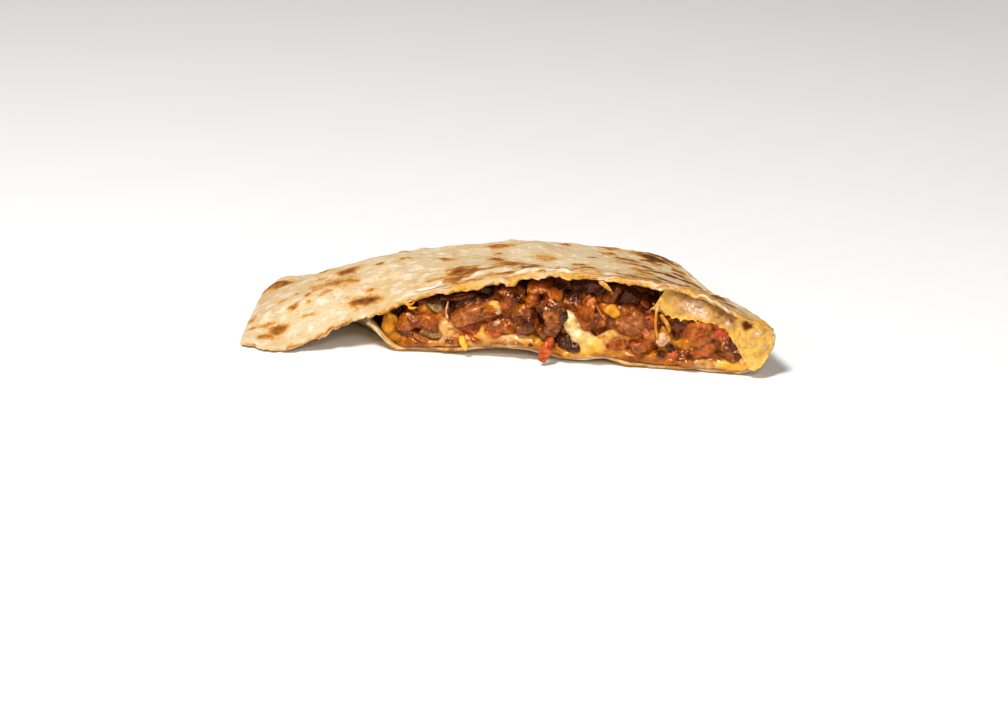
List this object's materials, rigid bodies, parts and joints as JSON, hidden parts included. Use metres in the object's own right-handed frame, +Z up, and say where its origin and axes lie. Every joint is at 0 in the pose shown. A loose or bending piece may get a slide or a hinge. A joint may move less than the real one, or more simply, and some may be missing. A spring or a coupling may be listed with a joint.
{
  "type": "quesadilla wedge",
  "caption": "Wedge cut from a folded, griddled flour tortilla, lying flat with its cut edge open on melted cheese and chopped meat in red sauce.",
  "frame": {"origin": "under the middle of the wedge's box, on the surface it lies on", "axes": "+X along the cut edge towards the fold, +Y from the cut edge to the pressed rim, +Z up"},
  "size_m": [0.1698, 0.1, 0.028],
  "materials": {
    "tortilla": "matte flour tortilla, cream with toasted brown blisters",
    "cheese": "melted cheese, yellow to white, softly glossy",
    "meat": "chopped meat in red sauce, wet and rough",
    "charred": "charred crust, glossy black",
    "onion": "soft cooked onion, glossy",
    "pepper": "cooked red pepper, glossy"
  },
  "bodies": {
    "root": {"tortilla": "tortilla", "cheese": "cheese", "meat": "meat", "charred_piece": "charred", "onion_piece": "onion", "pepper_strip": "pepper"}
  },
  "joints": []
}
